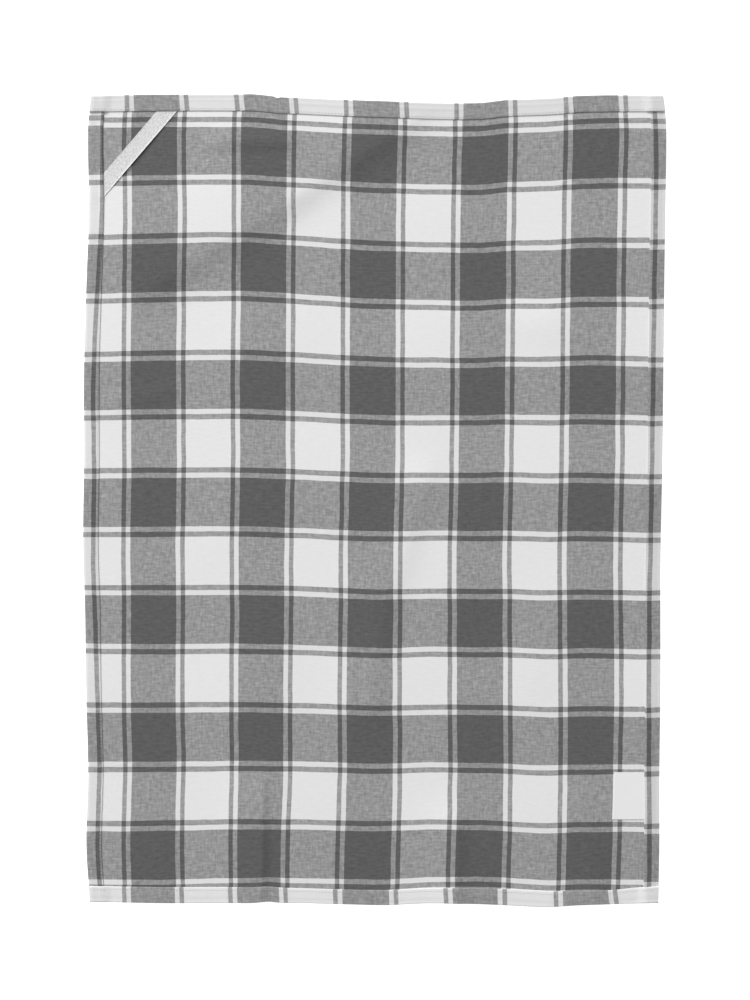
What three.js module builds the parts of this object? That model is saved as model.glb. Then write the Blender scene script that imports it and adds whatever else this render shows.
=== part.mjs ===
// A checked cotton tea towel, laid out flat with its hemmed face up. Millimetres, +Z up.
//
// The towel is one sheet of cloth whose four edges are turned over into hems. A hanging tape
// crosses its upper left corner from hem to hem, and a folded label lies under its right hem.
// The origin is in the middle of the towel, on the surface that it lies on.

import * as THREE from "three";
import { mergeVertices } from "three/addons/utils/BufferGeometryUtils.js";

// Driving sizes of the cloth
const HALF_WIDTH = 250;
const HALF_LENGTH = 350;
const CLOTH_THICKNESS = 1;
const HEM_THICKNESS = 2;
const CORNER_THICKNESS = 3;
const SIDE_HEM = 13;
const TOP_HEM = 14.2;
const BOTTOM_HEM = 13.6;
const HEM_STEP = 0.4;
const CORNER_REACH = 4;
const CORNER_PULL = 1.2;
const GRID_PITCH = 18;
const PIECE_GAP = 0.3;
const WELD = 1e-4;

// Distances from an edge at which its rounded rim has a line of points
const RIM_INSETS = [0, 0.3, 1];

// Where the two long edges run, from the top corners down
const LONG_EDGES = [
  { at: 350, left: -246.0, right: 250.5 },
  { at: 322, left: -248.7, right: 253.1 },
  { at: 250, left: -248.0, right: 252.3 },
  { at: 180, left: -250.4, right: 251.4 },
  { at: 110, left: -252.3, right: 250.6 },
  { at: 30, left: -252.3, right: 249.7 },
  { at: -45, left: -253.1, right: 248.2 },
  { at: -95, left: -251.4, right: 248.0 },
  { at: -165, left: -250.5, right: 248.0 },
  { at: -235, left: -248.7, right: 247.2 },
  { at: -300, left: -250.2, right: 247.1 },
  { at: -350, left: -247.2, right: 246.2 },
];

// Where the two short edges run, from the left corners to the right
const SHORT_EDGES = [
  { at: -250, top: 351.6, bottom: -348.4 },
  { at: -180, top: 352.4, bottom: -349.5 },
  { at: -112, top: 353.0, bottom: -349.4 },
  { at: -94, top: 351.2, bottom: -347.9 },
  { at: -84, top: 349.5, bottom: -348.8 },
  { at: -65, top: 349.3, bottom: -349.6 },
  { at: -30, top: 347.8, bottom: -350.4 },
  { at: 10, top: 346.3, bottom: -351.2 },
  { at: 50, top: 345.2, bottom: -349.6 },
  { at: 90, top: 345.2, bottom: -350.3 },
  { at: 112, top: 347.6, bottom: -351.2 },
  { at: 152, top: 349.3, bottom: -353.0 },
  { at: 180, top: 351.5, bottom: -351.4 },
  { at: 250, top: 352.0, bottom: -349.4 },
];

// Low folds left in the cloth: the line of each crest, how far it slopes away on its left and its right, as
// one looks along it, and how high it stands
const FOLDS = [
  { name: "slanting fold, upper part", from: [23, 325], to: [-71, 264], left: 14, right: 40, rise: 2.2 },
  { name: "slanting fold, lower part", from: [-71, 264], to: [-190, 190], left: 15, right: 45, rise: 2.2 },
  { name: "short fold under the top hem", from: [-130, 310], to: [-84, 310], left: 14, right: 8, rise: 2.4 },
  { name: "long upright fold, upper part", from: [40, 10], to: [10, -85], left: 14, right: 28, rise: 1.4 },
  { name: "long upright fold, lower part", from: [10, -85], to: [-3, -175], left: 12, right: 26, rise: 1.3 },
  { name: "left upright crease", from: [-97, -264], to: [-98, -352], left: 5, right: 22, rise: 1.7 },
  { name: "right upright crease", from: [71, -285], to: [71, -345], left: 8, right: 24, rise: 1.7 },
  { name: "low fold beside the label", from: [184, -290], to: [190, -332], left: 12, right: 12, rise: 0.6 },
  { name: "level fold on the right", from: [84, 160], to: [144, 154], left: 18, right: 18, rise: 0.6 },
  { name: "small crease at the left hem", from: [-210, 88], to: [-184, 94], left: 6, right: 6, rise: 0.4 },
];
const FOLD_END = 24;
const FLAT_BELOW = 0.15;
const CREASE_LINES = [-96, 73];

// Driving sizes of the hanging tape and the label
const TAPE_WIDTH = 13.3;
const TAPE_THICKNESS = 1;
const TAPE_SLANT_DEG = 49.6;
const TAPE_MIDDLE = { x: -206.9, y: 306.6 };
const TAPE_FOOT_Y = 263;
const TAPE_RISE = 5.6;
const TAPE_STEPS = 28;
const LABEL_LEFT = { top: 208.0, bottom: 206.4 };
const LABEL_TOP = -236;
const LABEL_BOTTOM = -277;
const LABEL_THICKNESS = 1;

const lerp = THREE.MathUtils.lerp;

// Value of one column of a table at a place along it, on a smooth curve through its rows.
function along(table, column, place) {
  const last = table.length - 1;
  const order = Math.sign(table[last].at - table[0].at);
  let i = 0;
  while (i < last - 1 && (place - table[i + 1].at) * order > 0) {
    i += 1;
  }
  const row = (k) => table[Math.min(Math.max(k, 0), last)];
  const slope = (k) => {
    const run = row(k + 1).at - row(k - 1).at;
    return (row(k + 1)[column] - row(k - 1)[column]) / run;
  };
  const run = row(i + 1).at - row(i).at;
  const t = THREE.MathUtils.clamp((place - row(i).at) / run, 0, 1);
  const fromRow = row(i)[column] * (1 + 2 * t) * (1 - t) ** 2 + slope(i) * run * t * (1 - t) ** 2;
  const toRow = row(i + 1)[column] * t * t * (3 - 2 * t) + slope(i + 1) * run * t * t * (t - 1);
  return fromRow + toRow;
}

// Place of a point of the flat, straight-edged towel on the one that lies here, with its wavy edges.
function place(a, b) {
  const leftShift = along(LONG_EDGES, "left", b) + HALF_WIDTH;
  const rightShift = along(LONG_EDGES, "right", b) - HALF_WIDTH;
  const topShift = along(SHORT_EDGES, "top", a) - HALF_LENGTH;
  const bottomShift = along(SHORT_EDGES, "bottom", a) + HALF_LENGTH;
  const sideShare = Math.max(0, 1 - (HALF_WIDTH - Math.abs(a)) / CORNER_REACH);
  const endShare = Math.max(0, 1 - (HALF_LENGTH - Math.abs(b)) / CORNER_REACH);
  const pull = CORNER_PULL * sideShare * endShare;
  return {
    x: a + lerp(leftShift, rightShift, (a + HALF_WIDTH) / (2 * HALF_WIDTH)) - Math.sign(a) * pull,
    y: b + lerp(bottomShift, topShift, (b + HALF_LENGTH) / (2 * HALF_LENGTH)) - Math.sign(b) * pull,
  };
}

// Height of the highest fold at a point: each falls away to both sides and beyond the ends of its crest.
// Below a small height the cloth lies flat.
function foldHeight(x, y) {
  const heights = FOLDS.map((fold) => {
    const start = new THREE.Vector2(...fold.from);
    const crest = new THREE.Vector2(...fold.to).sub(start);
    const away = new THREE.Vector2(x, y).sub(start);
    const ahead = away.dot(crest) / crest.length();
    const aside = crest.cross(away) / crest.length();
    const beyond = Math.max(0, -ahead, ahead - crest.length());
    const reach = aside > 0 ? fold.left : fold.right;
    return fold.rise * Math.exp(-((aside / reach) ** 2) - (beyond / FOLD_END) ** 2);
  });
  return Math.max(0, Math.max(...heights) - FLAT_BELOW);
}

// Half the thickness of a sheet near its rounded rim, full from half its thickness inwards.
function halfThickness(thickness, inset) {
  const depth = Math.min(1, (2 * inset) / thickness);
  return (thickness / 2) * Math.sqrt(1 - (1 - depth) ** 2);
}

// A closed sheet: a top and a bottom grid of points that meet along the rim.
// Each cell's diagonal points from the nearest corner to the middle, so a corner cell isn't pinched.
function sheetSolid(columns, rows, pointAt) {
  const positions = [];
  for (const side of ["high", "low"]) {
    for (const v of rows) {
      for (const u of columns) {
        const p = pointAt(u, v);
        positions.push(p.x, p.y, p[side]);
      }
    }
  }
  const across = columns.length;
  const layer = across * rows.length;
  const index = [];
  for (let j = 0; j + 1 < rows.length; j += 1) {
    for (let i = 0; i + 1 < across; i += 1) {
      const ring = [j * across + i, j * across + i + 1, (j + 1) * across + i + 1, (j + 1) * across + i];
      const turned = i < across / 2 - 1 !== j < rows.length / 2 - 1;
      const [a, b, c, d] = turned ? [ring[1], ring[2], ring[3], ring[0]] : ring;
      index.push(a, b, c, a, c, d);
      index.push(layer + a, layer + c, layer + b, layer + a, layer + d, layer + c);
    }
  }
  const geometry = new THREE.BufferGeometry();
  geometry.setAttribute("position", new THREE.Float32BufferAttribute(positions, 3));
  geometry.setIndex(index);
  const closed = mergeVertices(geometry, WELD);
  closed.computeVertexNormals();
  return closed;
}

// Grid lines of the towel from one edge to the other: the rims, the hem steps and the body between,
// with closer lines along the crests of the sharp creases.
function gridLines(half, lowHem, highHem, creases = []) {
  const low = [...RIM_INSETS, lowHem - HEM_STEP, lowHem].map((inset) => inset - half);
  const high = [highHem, highHem - HEM_STEP, ...RIM_INSETS.toReversed()].map((inset) => half - inset);
  const start = low.at(-1);
  const end = high[0];
  const spaces = Math.round((end - start) / GRID_PITCH);
  const even = Array.from({ length: spaces - 1 }, (_, k) => lerp(start, end, (k + 1) / spaces));
  const flank = GRID_PITCH / 3;
  const close = creases.flatMap((crease) => [crease - flank, crease, crease + flank]);
  const clear = even.filter((line) => close.every((other) => Math.abs(line - other) > flank));
  return [...low, ...[...clear, ...close].sort((p, q) => p - q), ...high];
}

// Grid lines across a plain band: the two rounded rims and nothing between.
function bandLines(low, high) {
  return [...RIM_INSETS.map((inset) => low + inset), ...RIM_INSETS.map((inset) => high - inset).reverse()];
}

// The towel: body, hems of doubled cloth and thicker corners where two hems cross.
function towelGeometry() {
  const columns = gridLines(HALF_WIDTH, SIDE_HEM, SIDE_HEM, CREASE_LINES);
  const rows = gridLines(HALF_LENGTH, BOTTOM_HEM, TOP_HEM);
  const hemShare = (inset, hem) => THREE.MathUtils.clamp((hem - inset) / HEM_STEP, 0, 1);
  return sheetSolid(columns, rows, (a, b) => {
    const sideInset = HALF_WIDTH - Math.abs(a);
    const endInset = HALF_LENGTH - Math.abs(b);
    const onSide = hemShare(sideInset, SIDE_HEM);
    const onEnd = hemShare(endInset, b > 0 ? TOP_HEM : BOTTOM_HEM);
    const hem = (HEM_THICKNESS - CLOTH_THICKNESS) * Math.max(onSide, onEnd);
    const corner = (CORNER_THICKNESS - HEM_THICKNESS) * onSide * onEnd;
    const thickness = CLOTH_THICKNESS + hem + corner;
    const half = halfThickness(thickness, Math.min(sideInset, endInset));
    const { x, y } = place(a, b);
    const middle = foldHeight(x, y) + thickness / 2;
    return { x, y, low: middle - half, high: middle + half };
  });
}

// The hanging tape: a band on a slant from the top hem to the left hem, its ends cut along the hems
// and its middle standing up off the cloth, so that a hook goes under it.
function tapeGeometry() {
  const slant = THREE.MathUtils.degToRad(TAPE_SLANT_DEG);
  const run = { x: Math.cos(slant), y: Math.sin(slant) };
  const topEnd = place(TAPE_MIDDLE.x, HALF_LENGTH - TOP_HEM - PIECE_GAP).y;
  const leftEnd = place(SIDE_HEM + PIECE_GAP - HALF_WIDTH, TAPE_FOOT_Y).x;
  const half = TAPE_WIDTH / 2;
  const rows = bandLines(-half, half);
  const columns = Array.from({ length: TAPE_STEPS + 1 }, (_, k) => k / TAPE_STEPS);
  return sheetSolid(columns, rows, (u, v) => {
    const x0 = TAPE_MIDDLE.x - v * run.y;
    const y0 = TAPE_MIDDLE.y + v * run.x;
    const start = (leftEnd - x0) / run.x;
    const length = (topEnd - y0) / run.y - start;
    const s = start + length * u;
    const lift = TAPE_RISE * Math.sin(Math.PI * u) ** 2;
    const middle = CLOTH_THICKNESS + PIECE_GAP + TAPE_THICKNESS / 2 + lift;
    const inset = Math.min(half - Math.abs(v), u * length, (1 - u) * length);
    const depth = halfThickness(TAPE_THICKNESS, inset);
    return { x: x0 + s * run.x, y: y0 + s * run.y, low: middle - depth, high: middle + depth };
  });
}

// The label: a folded band lying on the cloth, its fold to the left and its cut ends at the right hem.
function labelGeometry() {
  const height = LABEL_TOP - LABEL_BOTTOM;
  const hemFoot = place(HALF_WIDTH - SIDE_HEM - PIECE_GAP, (LABEL_TOP + LABEL_BOTTOM) / 2).x;
  const width = hemFoot - LABEL_LEFT.bottom;
  const columns = bandLines(0, width);
  const rows = bandLines(0, height);
  return sheetSolid(columns, rows, (u, v) => {
    const left = lerp(LABEL_LEFT.bottom, LABEL_LEFT.top, v / height);
    const inset = Math.min(u, width - u, v, height - v);
    const middle = CLOTH_THICKNESS + PIECE_GAP + LABEL_THICKNESS / 2;
    const depth = halfThickness(LABEL_THICKNESS, inset);
    const x = lerp(left, hemFoot, u / width);
    return { x, y: LABEL_BOTTOM + v, low: middle - depth, high: middle + depth };
  });
}

function piece(name, geometry, color, roughness) {
  const material = new THREE.MeshStandardMaterial({ color, roughness, metalness: 0 });
  const mesh = new THREE.Mesh(geometry, material);
  mesh.name = name;
  return mesh;
}

const towel = new THREE.Group();
towel.name = "tea_towel";
towel.add(
  piece("towel_cloth", towelGeometry(), 0x9a9a9a, 0.95),
  piece("hanging_tape", tapeGeometry(), 0xe6e6e4, 0.9),
  piece("label", labelGeometry(), 0xe8e8e6, 0.6),
);

export default towel;
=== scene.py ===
"""Checked cotton tea towel, laid flat with its hemmed face up, with a hanging tape and a bare label.

Shapes are worked out in millimetres and stored in metres.
"""

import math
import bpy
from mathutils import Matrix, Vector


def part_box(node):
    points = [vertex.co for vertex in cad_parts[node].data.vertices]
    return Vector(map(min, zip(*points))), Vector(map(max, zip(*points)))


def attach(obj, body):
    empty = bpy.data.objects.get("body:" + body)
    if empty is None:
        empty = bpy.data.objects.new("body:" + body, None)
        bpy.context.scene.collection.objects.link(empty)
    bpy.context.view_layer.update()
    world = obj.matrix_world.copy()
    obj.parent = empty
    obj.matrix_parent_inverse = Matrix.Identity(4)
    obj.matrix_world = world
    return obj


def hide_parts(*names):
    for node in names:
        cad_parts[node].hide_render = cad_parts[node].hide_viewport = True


bl_info = {
    "name": "Checked Tea Towel",
    "version": (1, 0, 0),
    "blender": (4, 5, 0),
    "location": "View3D > Sidebar > Tea Towel",
    "description": "Builds a checked cotton tea towel with turned hems, a hanging tape and a bare label",
    "category": "Add Mesh",
}

from types import SimpleNamespace

import bpy
import numpy as np
from bpy.props import FloatProperty, FloatVectorProperty, PointerProperty
from mathutils import Vector

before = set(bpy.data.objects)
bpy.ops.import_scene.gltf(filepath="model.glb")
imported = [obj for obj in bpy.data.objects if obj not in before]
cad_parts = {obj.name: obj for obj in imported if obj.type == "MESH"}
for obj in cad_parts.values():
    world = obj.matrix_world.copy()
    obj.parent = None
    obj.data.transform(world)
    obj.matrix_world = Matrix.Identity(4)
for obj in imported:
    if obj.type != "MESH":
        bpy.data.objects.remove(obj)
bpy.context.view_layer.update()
LABEL_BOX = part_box("label")

MM = 0.001
FLAT_MAP = "flat_cloth"
# Name of the attribute that holds the hems' darkness: layers showing through, and painted shade
HEM_DARKNESS_AND_SHADE = "hem_darkness_and_painted_shade"

# Size of the towel as hemmed
TOWEL_WIDTH = 500
TOWEL_LENGTH = 700

# How far each long edge lies from a straight one: place along the length, left edge, right edge
LONG_EDGES = (
    (-350, 2.8, -3.8),
    (-300, -0.2, -2.9),
    (-235, 1.3, -2.8),
    (-165, -0.5, -2.0),
    (-95, -1.4, -2.0),
    (-45, -3.1, -1.8),
    (30, -2.3, -0.3),
    (110, -2.3, 0.6),
    (180, -0.4, 1.4),
    (250, 2.0, 2.3),
    (322, 1.3, 3.1),
    (350, 4.0, 0.5),
)

# How far each short edge lies from a straight one: place along the width, bottom edge, top edge
SHORT_EDGES = (
    (-250, 1.6, 1.6),
    (-180, 0.5, 2.4),
    (-120, 0.6, 2.2),
    (-65, 0.5, -0.4),
    (-30, -0.4, -2.2),
    (10, -1.2, -3.7),
    (50, 0.4, -4.8),
    (90, -0.3, -4.8),
    (112, -1.2, -2.4),
    (152, -3.0, -0.7),
    (180, -1.4, 1.5),
    (250, 0.6, 2.0),
)

# Kinks of the short edges that fade out within the cloth: end, place along the width, reach, how far out
# and how deep into the cloth
EDGE_KINKS = (
    (1, -108, 13, 0.8, 28),
    (1, -82, 10, -0.6, 28),
    (1, -87.4, 1.8, -1.1, 9),
    (-1, -94, 9, -1.2, 28),
)

# How far the upright stripes run off the grid of the flat cloth: place along the length, then the shift at
# the left edge, on both sides of the left crease, in the middle, right of the middle and at the right edge
STRIPE_COLUMNS = (-250, -120, -77, 0, 120, 250)
UPRIGHT_STRIPE_DRIFT = (
    (-340, 0.6, 3.9, 6.4, 5.6, 3.4, 2.1),
    (-300, 0.0, 2.7, 4.8, 4.2, 2.3, 1.7),
    (-251, -0.3, 2.9, 4.0, 3.4, 1.8, 1.3),
    (-151, -0.7, 1.7, 2.4, 2.9, 2.2, 0.3),
    (-49, -2.5, -0.3, 0.2, 1.1, 2.3, 1.4),
    (52, -2.5, -0.4, -0.1, 0.5, 1.9, 1.3),
    (155, -1.0, 0.4, 0.8, 1.4, 1.9, 1.7),
    (256, 1.1, 2.5, 2.9, 3.4, 2.8, 1.9),
    (340, 1.7, 1.9, 1.8, 1.6, 1.2, 1.1),
)

# The same for the level stripes
LEVEL_STRIPE_DRIFT = (
    (-330, 4.8, 2.4, 2.2, 1.9, 0.0, 3.9),
    (-284, 4.8, 2.4, 2.2, 1.9, 1.7, 4.6),
    (-182, 3.5, 2.6, 2.7, 3.0, 2.9, 6.9),
    (21, 3.6, 2.6, 2.8, 3.5, 3.7, 8.8),
    (224, 4.9, 2.4, 3.0, 4.7, 5.7, 6.9),
    (326, 4.2, 4.7, 5.0, 5.6, 5.1, 4.6),
)

# How far a hem's stripes are dragged along it past those of the body: place along the hem, at the fold and
# at the hem's inner edge
TOP_HEM_DRAG = (
    (-250, -0.7, 0.8),
    (-215, -0.2, 1.9),
    (-169, -0.3, 2.0),
    (-112, 0.4, 2.5),
    (-72, 0.0, 1.6),
    (-26, 0.3, 1.3),
    (70, 1.4, 1.0),
    (119, 0.2, 0.0),
    (167, 1.0, 0.9),
    (250, 0.6, 0.4),
)
BOTTOM_HEM_DRAG = (
    (-250, -0.6, -0.5),
    (-169, -1.3, -1.1),
    (-121, -0.7, -0.7),
    (-78, -1.8, -1.7),
    (-30, -1.4, -1.4),
    (40, -1.2, -1.7),
    (109, -2.7, -3.1),
    (157, -1.9, -2.2),
    (206, -1.2, -2.9),
    (250, -0.6, -2.0),
)
LEFT_HEM_DRAG = (
    (-350, 0.5, 0.6),
    (-200, -0.1, -0.1),
    (-128, 0.4, 0.4),
    (0, -0.4, -0.4),
    (150, 0.3, 0.3),
    (250, 1.4, 1.4),
)
RIGHT_HEM_DRAG = (
    (-350, -1.4, -1.4),
    (-231, -1.0, -1.1),
    (-128, 0.4, 0.4),
    (50, 0.3, 0.3),
    (177, -1.4, -1.5),
    (300, -0.9, -0.9),
)

# How much wider the bottom hem is than at its left end: place along the hem, width added
BOTTOM_HEM_GAIN = (
    (-250, 0.0),
    (-120, 0.0),
    (-57, -0.9),
    (0, -0.8),
    (50, -0.4),
    (90, 0.0),
    (139, 0.4),
    (187, -1.5),
    (208, -1.6),
    (233, 0.2),
    (250, 0.8),
)

# How much further in the stripes along the left hem lie than its fold alone would put them
LEFT_HEM_SHIFT = ((-340, -0.8), (-250, 0.2), (-104, 0.1), (0, 1.6), (96, 0.0), (200, 0.0), (300, 1.0))

# How grey the hems look, partly from the layers in them and partly as painted shade, which is why they differ
# from hem to hem: left, right, bottom and top
HEM_GREY_AND_PAINTED_SHADE = (0.0, 0.4, 0.05, 0.42)

# Low folds left in the cloth: the two ends of the crest, how far it slopes away to the left and to the
# right as one looks from the first end to the second, how high it stands, and the power of its fall
FOLDS = (
    ((23, 325), (-71, 264), 14, 72, 2.2, 1.8),
    ((-71, 264), (-190, 190), 15, 112, 2.2, 1.8),
    ((-130, 310), (-84, 310), 16, 8, 2.7, 1.8),
    ((40, 10), (10, -85), 14, 28, 1.4, 1.8),
    ((10, -85), (-3, -175), 12, 26, 1.3, 1.8),
    ((-97, -264), (-98, -352), 4.5, 22, 1.7, 1.5),
    ((71, -285), (71, -345), 8, 24, 1.7, 1.6),
    ((184, -268), (190, -332), 12, 12, 0.6, 2.0),
    ((84, 160), (144, 154), 18, 18, 0.6, 2.0),
    ((-210, 88), (-184, 94), 6, 6, 0.4, 2.0),
)
FOLD_END = 24

# A very low swell of the whole cloth: its height, and for the waves across and along it how far a wave and
# its sway run to a radian, and how much it sways
SWELL_HEIGHT = 0.14
SWELL_ACROSS = (19, 41, 1.3)
SWELL_ALONG = (23, 37, 1.1)
SWELL_PHASE = 2

# Where the cloth's grid is close, along pressed creases: their columns, the lines at each, and how far from
# it, in spacings, other lines stay
CREASE_COLUMNS = (-94, -87.4, 75)
CREASE_LINES = 7
CREASE_CLEAR = 1.2

# Distances from the middle of a dark band of the check at which it gives way to a white line, a dark line and
# the white band, in the warp and in the weft
WARP_BANDS = (19.9, 23.9, 27.9)
WEFT_BANDS = (21.0, 25.4, 29.8)

# White share of the yarns of the dark band, the white line, the dark line and the white band. The two lines
# are so narrow that their yarns mix a little.
BAND_WHITENESS = (0, 0.94, 0.09, 1)

# How dark each set of yarns of the next layer makes a hem
YARN_SHOW = 0.3

# The hanging tape's line, repeated from the solids
TAPE_MIDDLE = np.array((-206.9, 306.6))
TAPE_SLANT = math.radians(49.6)
TAPE_RUN = np.array((math.cos(TAPE_SLANT), math.sin(TAPE_SLANT)))
TAPE_SIDE = np.array((-TAPE_RUN[1], TAPE_RUN[0]))
TAPE_TUCK = 6.0
TAPE_CLEARANCE = 0.04
SELVEDGE_CURL = 0.14

# How far from the tape's line a hem is lifted by the tape under it, and over what width that fades
TAPE_LIFT_REACH = 11
TAPE_LIFT_FADE = 5

# The label: the ends under the hem, the gap under it, the radius of its fold in thicknesses, how far its top
# is set in from its foot, and how far beside it the hem is lifted and over what width that fades
LABEL_TUCK = 5.0
LABEL_CLEARANCE = 0.05
LABEL_FOLD = 0.7
LABEL_SLANT = 1.6
LABEL_LIFT_REACH = 3
LABEL_LIFT_FADE = 4

# Rows of stitches: axis of the hem, its low or high side, and how far in from the hem's inner edge
STITCH_ROWS = (("side", -1, 1.5), ("side", 1, 1.2), ("end", 1, 1.9), ("end", -1, 2.6))
STITCH_POINTS = 6
THREAD_SIDES = 6

# How far the side rows stop short of the bottom hem, and the end rows of the corners
SIDE_ROW_GAP = 1
END_ROW_GAP = 3

# Spacing of the cloth's grid, and the counts of its lines at a turned edge: up to the edge, round it, back
# along the hem, round again and out under the hem
GRID_SPACING = 3.9
EDGE_LINE_COUNTS = (4, 6, 11, 6, 3)

# How much the side hems are pressed flat under the top and bottom hems, from how far before them and over
# what width, and over what width the side hems' layers come in
CORNER_PRESS = 0.3
PRESS_LEAD = 4
PRESS_FADE = 5
SIDE_HEM_FADE = 3

# How far in from the edge a thick corner draws the cloth in
DRAW_IN = 8

# The stage: half the floor's size and how far it lies below the towel, the lamp's size and place, and how far
# the camera stands off the middle
FLOOR_REACH = 12000.0
FLOOR_DROP = 0.2
KEY_SIZE = 4.2
KEY_PLACE = (-4.88, 7.36, 3.92)
CAMERA_OFFSET = 0.0004


def linear(hex_colour):
    """Linear red, green and blue of an sRGB colour written as six hex digits."""
    srgb = np.array([int(hex_colour[i : i + 2], 16) for i in (0, 2, 4)]) / 255
    return tuple(np.where(srgb <= 0.04045, srgb / 12.92, ((srgb + 0.055) / 1.055) ** 2.4))


class ClothSettings(bpy.types.PropertyGroup):
    """Sizes and colours of the towel's cloth"""

    width: FloatProperty(
        name="Width", description="Width of the hemmed towel", default=TOWEL_WIDTH * MM, unit="LENGTH"
    )
    length: FloatProperty(
        name="Length", description="Length of the hemmed towel", default=TOWEL_LENGTH * MM, unit="LENGTH"
    )
    side_hem: FloatProperty(
        name="Side hem", description="Width of the side hems", default=13 * MM, unit="LENGTH"
    )
    top_hem: FloatProperty(
        name="Top hem", description="Width of the top hem", default=14.2 * MM, unit="LENGTH"
    )
    bottom_hem: FloatProperty(
        name="Bottom hem", description="Width of the bottom hem", default=13.6 * MM, unit="LENGTH"
    )
    side_turn: FloatProperty(
        name="Side turn",
        description="Raw edge folded in under a side hem",
        default=11.4 * MM,
        unit="LENGTH",
    )
    end_turn: FloatProperty(
        name="End turn", description="Raw edge folded in under an end hem", default=8.6 * MM, unit="LENGTH"
    )
    thickness: FloatProperty(
        name="Thickness", description="Thickness of one layer of cloth", default=0.26 * MM, unit="LENGTH"
    )
    layer_pitch: FloatProperty(
        name="Layer pitch",
        description="Height from one layer to the next",
        default=0.29 * MM,
        unit="LENGTH",
    )
    warp_repeat: FloatProperty(
        name="Check width", description="Repeat of the check across", default=95.5 * MM, unit="LENGTH"
    )
    weft_repeat: FloatProperty(
        name="Check length", description="Repeat of the check along", default=101.7 * MM, unit="LENGTH"
    )
    thread_pitch: FloatProperty(
        name="Thread pitch", description="Spacing of the threads", default=0.55 * MM, unit="LENGTH"
    )
    dark: FloatVectorProperty(
        name="Dark yarn",
        description="Colour of the dark yarn",
        default=linear("565656"),
        size=3,
        subtype="COLOR",
    )
    white: FloatVectorProperty(
        name="White yarn",
        description="Colour of the white yarn",
        default=linear("d9d9d9"),
        size=3,
        subtype="COLOR",
    )


class TapeSettings(bpy.types.PropertyGroup):
    """Sizes and colour of the hanging tape"""

    width: FloatProperty(name="Width", description="Width of the tape", default=13.3 * MM, unit="LENGTH")
    thickness: FloatProperty(
        name="Thickness", description="Thickness of the tape", default=0.36 * MM, unit="LENGTH"
    )
    rise: FloatProperty(
        name="Rise",
        description="How far the tape's middle stands off the cloth",
        default=0.6 * MM,
        unit="LENGTH",
    )
    colour: FloatVectorProperty(
        name="Colour", description="Colour of the tape", default=linear("f1f1f1"), size=3, subtype="COLOR"
    )


class LabelSettings(bpy.types.PropertyGroup):
    """Sizes and colour of the bare label"""

    thickness: FloatProperty(
        name="Thickness",
        description="Thickness of one layer of the label",
        default=0.11 * MM,
        unit="LENGTH",
    )
    curl: FloatProperty(
        name="Curl",
        description="How far the label's fold stands off the cloth",
        default=0.2 * MM,
        unit="LENGTH",
    )
    colour: FloatVectorProperty(
        name="Colour", description="Colour of the label", default=linear("e1e1e1"), size=3, subtype="COLOR"
    )


class StitchSettings(bpy.types.PropertyGroup):
    """Sizes and colour of the hem stitches"""

    pitch: FloatProperty(name="Pitch", description="From stitch to stitch", default=2.9 * MM, unit="LENGTH")
    length: FloatProperty(name="Length", description="Length of a stitch", default=2.1 * MM, unit="LENGTH")
    thread: FloatProperty(
        name="Thread", description="Width of the thread", default=0.26 * MM, unit="LENGTH"
    )
    colour: FloatVectorProperty(
        name="Colour", description="Colour of the thread", default=linear("b2b2b2"), size=3, subtype="COLOR"
    )


class StageSettings(bpy.types.PropertyGroup):
    """Floor, lights and camera"""

    floor: FloatVectorProperty(
        name="Floor", description="Colour of the floor", default=linear("fafafa"), size=3, subtype="COLOR"
    )
    sky: FloatProperty(name="Sky", description="Strength of the light from all round", default=0.465)
    key: FloatProperty(name="Key", description="Power of the main light", default=1570.0, unit="POWER")
    glow: FloatProperty(name="Glow", description="Light that comes up through the floor", default=0.7)
    height: FloatProperty(
        name="Camera height", description="Camera above the floor", default=2.2, unit="LENGTH"
    )
    frame_height: FloatProperty(
        name="Frame height",
        description="Length of floor that the picture shows",
        default=868.5 * MM,
        unit="LENGTH",
    )


def ease(share):
    """Smooth step from 0 to 1: three times the square less twice the cube of the share."""
    share = np.clip(share, 0, 1)
    return share * share * (3 - 2 * share)


def through(at, values, places):
    """Values on a smooth curve through a table's rows.

    Between two rows it is the cubic that has the rows' values at its ends and, at each, the slope between
    that row's two neighbours.
    """
    at = np.asarray(at, float)
    values = np.asarray(values, float)
    padded_at = np.concatenate((at[:1], at, at[-1:]))
    padded = np.concatenate((values[:1], values, values[-1:]))
    spread = (padded_at[2:] - padded_at[:-2]).reshape(-1, *(1,) * (values.ndim - 1))
    slopes = (padded[2:] - padded[:-2]) / spread
    i = np.clip(np.searchsorted(at, places) - 1, 0, len(at) - 2)
    run = at[i + 1] - at[i]
    t = np.clip((places - at[i]) / run, 0, 1)
    run, t = (x.reshape(x.shape + (1,) * (values.ndim - 1)) for x in (run, t))
    leaving = values[i] * (1 + 2 * t) * (1 - t) ** 2 + slopes[i] * run * t * (1 - t) ** 2
    reaching = values[i + 1] * t * t * (3 - 2 * t) + slopes[i + 1] * run * t * t * (t - 1)
    return leaving + reaching


def drift(table, a, b):
    """Shift of the stripes at each point: smooth curves through the table's rows along the length, and
    through its columns across the width."""
    rows = np.array(table)
    along = through(rows[:, 0], rows[:, 1:], b)
    across = through(STRIPE_COLUMNS, np.eye(len(STRIPE_COLUMNS)), a)
    return (along * across).sum(-1)


def drag(table, places, back):
    """Shift of a hem's stripes along it: the table's value at the fold at share 0 of the way back, and its
    value at the inner edge at share 1."""
    rows = np.array(table, float)
    at_fold, at_edge = (through(rows[:, 0], rows[:, k], places) for k in (1, 2))
    return at_fold + (at_edge - at_fold) * back


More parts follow.
